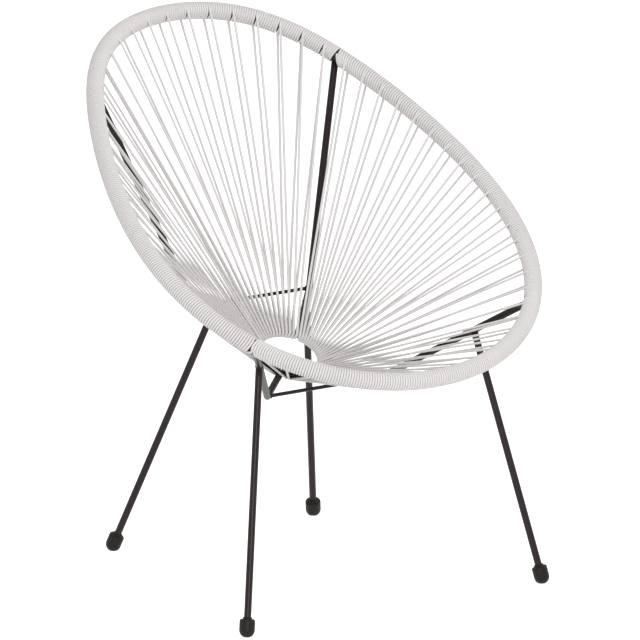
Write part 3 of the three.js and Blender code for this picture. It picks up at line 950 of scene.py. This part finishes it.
def weld_bead(name, centre, rod_axis, carrier_axis, rod_radius, carrier_radius, bead_radius):
    """A rippled bead round the seam where a rod ends on a thicker or equal rod.

    The seam is the curve common to both round surfaces: a point at rod_radius round the rod's
    axis, moved along that axis until it lies carrier_radius from the carrier's axis. The bead's
    radius is bead_radius times 1 + share sin(ripples a), with a the angle round the rod.
    """
    along = unit(rod_axis)
    carrier = unit(carrier_axis)
    first = unit(np.cross(along, carrier))
    second = np.cross(along, first)
    angle = angles_round(WELD_STEPS)[:, None]
    outward = first * np.cos(angle) + second * np.sin(angle)
    lean = float(np.dot(along, carrier))
    aside = rod_radius * (outward @ carrier)[:, None]
    square = 1 - lean**2
    inside = (aside * lean) ** 2 - square * (rod_radius**2 - aside**2 - carrier_radius**2)
    height = (aside * lean + np.sqrt(np.maximum(inside, 0))) / square
    height = np.minimum(height, WELD_REACH * carrier_radius)
    path = centre + rod_radius * outward + height * along
    size = bead_radius * (1 + WELD_RIPPLE_SHARE * np.sin(WELD_RIPPLES * angle[:, 0]))
    points, faces, uv = tube(path, outward, size, WELD_SIDES, closed=True)
    place_piece(mesh_piece(name, points, faces, STEEL_FINISH, uv), "frame")


def make_rim_tube():
    """The rim's bare tube, which the cord covers: a round section along the rim's curve."""
    share = np.arange(RIM_STEPS) / RIM_STEPS
    centre, _, outward = rim_frame(share)
    points, faces, uv = tube(centre, outward, RIM_TUBE_RADIUS, ROD_SIDES, closed=True)
    place_piece(mesh_piece("rim_bar", points, faces, STEEL_FINISH, uv), "frame", "rim_tube")


def make_seat_ring():
    """The seat ring: a round rod bent to a circle."""
    angle = angles_round(RING_STEPS)
    points, faces, uv = tube(
        ring_point(angle), ring_outward(angle), RING_ROD_RADIUS, RING_SIDES, closed=True
    )
    place_piece(mesh_piece("seat_ring_rod", points, faces, STEEL_FINISH, uv), "frame", "seat_ring")


def make_ribs():
    """The four ribs, each from the rim down to its bend and in to the ring, with a bead at the
    rim."""
    for where, rib in FRONT_BACK:
        for hand, side in LEFT_RIGHT:
            joint = mirrored(RIB_JOINTS[rib], side)
            bend = mirrored(RIB_BENDS[rib], side)
            ring_end = mirrored(RIB_RING_ENDS[rib], side)
            upper = unit(bend - joint)
            lower = unit(bend - ring_end)
            start = joint + upper * (RIM_TUBE_RADIUS - RIB_SINK)
            end = ring_end + lower * RIB_STOP
            path = bent_path(start, bend, end, RIB_BEND_RADIUS)
            tag = f"{where}_{hand}"
            rod_piece(f"rib_rod_{tag}", path, RIB_RADIUS, f"rib_{tag}")
            tangent = rim_frame(np.array(side * RIB_JOINT_SHARES[rib]))[1]
            weld_bead(
                f"rim_weld_{tag}",
                joint,
                upper,
                tangent,
                RIB_RADIUS,
                RIM_TUBE_RADIUS,
                RIM_WELD_RADIUS,
            )


def bend_middle(rib, side):
    """The middle of a rib's bend, where its crossbar is welded on."""
    joint, bend, end = RIB_JOINTS[rib], RIB_BENDS[rib], RIB_RING_ENDS[rib]
    path = bent_path(joint, bend, end, RIB_BEND_RADIUS)
    return mirrored(path[UPPER_ARM_STEPS + BEND_STEPS // 2], side)


def make_crossbars():
    """The two crossbars, each from bend to bend, with a bead at either end."""
    share = np.linspace(0, 1, CROSSBAR_STEPS + 1)
    for where, rib in FRONT_BACK:
        path = between(bend_middle(rib, -1), bend_middle(rib, 1), share)
        rod_piece(f"crossbar_rod_{where}", path, CROSSBAR_RADIUS, f"crossbar_{where}")
        for hand, side in LEFT_RIGHT:
            joint = mirrored(RIB_JOINTS[rib], side)
            ring_end = mirrored(RIB_RING_ENDS[rib], side)
            weld_bead(
                f"crossbar_weld_{where}_{hand}",
                bend_middle(rib, side),
                np.array((-side, 0, 0.0)),
                unit(ring_end - joint),
                CROSSBAR_RADIUS,
                RIB_RADIUS,
                CROSSBAR_WELD_RADIUS,
            )


def make_legs():
    """The four legs, each straight from its foot to its rib, with a bead at the top."""
    share = np.linspace(0, 1, LEG_STEPS + 1)
    for where, rib in FRONT_BACK:
        for hand, side in LEFT_RIGHT:
            tag = f"{where}_{hand}"
            top = mirrored(LEG_TOPS[rib], side)
            foot = mirrored(FEET[rib], side)
            path = between(foot, top, share)
            rod_piece(f"leg_rod_{tag}", path, LEG_RADIUS, f"leg_{tag}")
            far = RIB_JOINTS[rib] if rib == 0 else RIB_RING_ENDS[rib]
            carrier = unit(mirrored(RIB_BENDS[rib] - far, side))
            weld_bead(
                f"leg_weld_{tag}",
                top,
                foot - top,
                carrier,
                LEG_RADIUS,
                RIB_RADIUS,
                LEG_WELD_RADIUS,
            )


# Foot caps

CAP_SIDES = 48
CAP_DOME_STEPS = 14
CAP_SHOULDER_STEPS = 8
CAP_SHOULDER_RADIUS = 3.5 * MM
CAP_LIP = 0.6 * MM


def cap_profile():
    """Half outline of a foot cap as (radius, height above the dome's centre), from the middle of
    its bottom to the mouth on the rod: a round dome, straight wall, round shoulder, small
    collar with a rounded lip."""
    angle = np.linspace(-math.pi / 2, 0, CAP_DOME_STEPS + 1)
    dome = np.stack((np.cos(angle), np.sin(angle)), axis=-1) * CAP_RADIUS
    turn = np.linspace(0, math.pi / 2, CAP_SHOULDER_STEPS + 1)
    shoulder = np.stack((np.cos(turn), np.sin(turn)), axis=-1) * CAP_SHOULDER_RADIUS
    shoulder += np.array((CAP_RADIUS, CAP_BODY_LENGTH)) - CAP_SHOULDER_RADIUS
    top = CAP_BODY_LENGTH + CAP_COLLAR_LENGTH
    mouth = LEG_RADIUS + SEAT_GAP
    collar = np.array(
        (
            (CAP_COLLAR_RADIUS + CAP_LIP, CAP_BODY_LENGTH),
            (CAP_COLLAR_RADIUS, CAP_BODY_LENGTH + CAP_LIP),
            (CAP_COLLAR_RADIUS, top - CAP_LIP),
            (CAP_COLLAR_RADIUS - CAP_LIP, top),
            (mouth, top),
            (mouth, CAP_BODY_LENGTH),
            (0, CAP_BODY_LENGTH),
        )
    )
    return np.concatenate((dome, shoulder, collar))


def make_foot_caps():
    """The four caps: a point is foot + r (first cos a + second sin a) + h axis, with r and h from
    the half outline and the axis along the leg. What would go below the floor is pressed flat."""
    profile = cap_profile()
    angle = angles_round(CAP_SIDES)
    for where, rib in FRONT_BACK:
        for hand, side in LEFT_RIGHT:
            foot = mirrored(FEET[rib], side)
            axis = unit(mirrored(LEG_TOPS[rib], side) - foot)
            first = unit(np.cross(axis, np.array((0, 1.0, 0))))
            second = np.cross(axis, first)
            round_axis = first * np.cos(angle)[:, None] + second * np.sin(angle)[:, None]
            points = foot + profile[:, :1, None] * round_axis + profile[:, 1:, None] * axis
            points = points.reshape(-1, 3)
            points[:, 2] = np.maximum(points[:, 2], 0)
            faces = [grid_faces(len(profile), CAP_SIDES)]
            tag = f"{where}_{hand}"
            piece = mesh_piece(f"rubber_cap_{tag}", points, faces, RUBBER_FINISH)
            close_poles(piece)
            place_piece(piece, "foot", f"foot_cap_{tag}")


make_rim_tube()
make_seat_ring()
make_ribs()
make_crossbars()
make_legs()
make_foot_caps()
make_cords()


# Stage

# The strength of the light from all round, and of the glow that whitens the floor for the eye;
# the floor's colour and half its side
FILL_LIGHT = 0.7
FLOOR_GLOW = 0.8
FLOOR_COLOUR = (0.8, 0.8, 0.8, 1)
FLOOR_HALF = 30.0
# Soft lamps: name, place, target, size across and watts
SOFTBOXES = (
    ("front_softbox", (-1.8, -3.1, 1.2), (0, 0, 0.45), 1.0, 42),
    ("right_softbox", (3.2, -1.4, 2.2), (0, 0, 0.5), 2.0, 10),
    ("top_softbox", (0.6, -0.6, 3.4), (0, 0, 0.5), 1.6, 10),
)
# Camera: its place, its three directions, its lens and sensor in millimetres, and how far it sees
CAMERA_PLACE = (-9.98, -15.37, 5.255)
CAMERA_RIGHT = Vector((0.8378, -0.5460, 0.0))
CAMERA_UP = Vector((0.1390, 0.2133, 0.9671))
CAMERA_FORWARD = Vector((0.5280, 0.8102, -0.2546))
CAMERA_LENS = 642.5
CAMERA_SENSOR = 36
CAMERA_REACH = 200


def seen_by_eye(tree):
    """One for rays from the camera and for their reflections and refractions, else zero."""
    path = add_node(tree, "ShaderNodeLightPath")
    mirrored_too = add_node(
        tree,
        "ShaderNodeMath",
        {0: path.outputs["Is Camera Ray"], 1: path.outputs["Is Glossy Ray"]},
        operation="MAXIMUM",
    )
    through_too = add_node(
        tree,
        "ShaderNodeMath",
        {0: mirrored_too.outputs["Value"], 1: path.outputs["Is Transmission Ray"]},
        operation="MAXIMUM",
    )
    return through_too.outputs["Value"]


def make_floor():
    """A white floor that keeps a little of the chair's soft shadow."""
    material, tree = new_material("white_floor")
    seen = seen_by_eye(tree)
    glow = add_node(tree, "ShaderNodeMath", {0: seen, 1: FLOOR_GLOW}, operation="MULTIPLY")
    shader = add_node(
        tree,
        "ShaderNodeBsdfPrincipled",
        {
            "Base Color": FLOOR_COLOUR,
            "Roughness": 0.9,
            "Specular IOR Level": 0.0,
            "Emission Color": WHITE,
            "Emission Strength": glow.outputs["Value"],
        },
    )
    finish_material(tree, shader.outputs["BSDF"])
    corners = np.array(((-1, -1, 0), (1, -1, 0), (1, 1, 0), (-1, 1, 0))) * FLOOR_HALF
    floor = mesh_piece("floor", corners, [np.array(((0, 1, 2, 3),))], material)


def make_surround():
    """A surround that is white to the eye and lights the chair less strongly from all round."""
    world = bpy.data.worlds.new("surround")
    bpy.context.scene.world = world
    world.use_nodes = True
    tree = world.node_tree
    tree.nodes.clear()
    strength = add_node(
        tree,
        "ShaderNodeMapRange",
        {"Value": seen_by_eye(tree), "To Min": FILL_LIGHT, "To Max": 1.0},
    )
    light = add_node(
        tree,
        "ShaderNodeBackground",
        {"Color": WHITE, "Strength": strength.outputs["Result"]},
    )
    add_node(tree, "ShaderNodeOutputWorld", {"Surface": light.outputs["Background"]})


def area_light(name, place, target, size, watts):
    """A round lamp that faces its target."""
    light = bpy.data.lights.new(name, "AREA")
    light.shape = "DISK"
    light.size = size
    light.energy = watts
    lamp = bpy.data.objects.new(name, light)
    bpy.context.scene.collection.objects.link(lamp)
    lamp.location = place
    lamp.rotation_euler = (Vector(target) - Vector(place)).to_track_quat("-Z", "Y").to_euler()


def make_camera():
    """A long lens that looks slightly down on the chair from the front left."""
    data = bpy.data.cameras.new("camera")
    data.sensor_width = CAMERA_SENSOR
    data.lens = CAMERA_LENS
    data.clip_end = CAMERA_REACH
    camera = bpy.data.objects.new("camera", data)
    bpy.context.scene.collection.objects.link(camera)
    turn = Matrix((CAMERA_RIGHT, CAMERA_UP, -CAMERA_FORWARD)).transposed()
    camera.matrix_world = Matrix.Translation(CAMERA_PLACE) @ turn.to_4x4()
    bpy.context.scene.camera = camera


make_floor()
make_surround()
for softbox in SOFTBOXES:
    area_light(*softbox)
make_camera()
bpy.context.scene.view_settings.view_transform = "Standard"
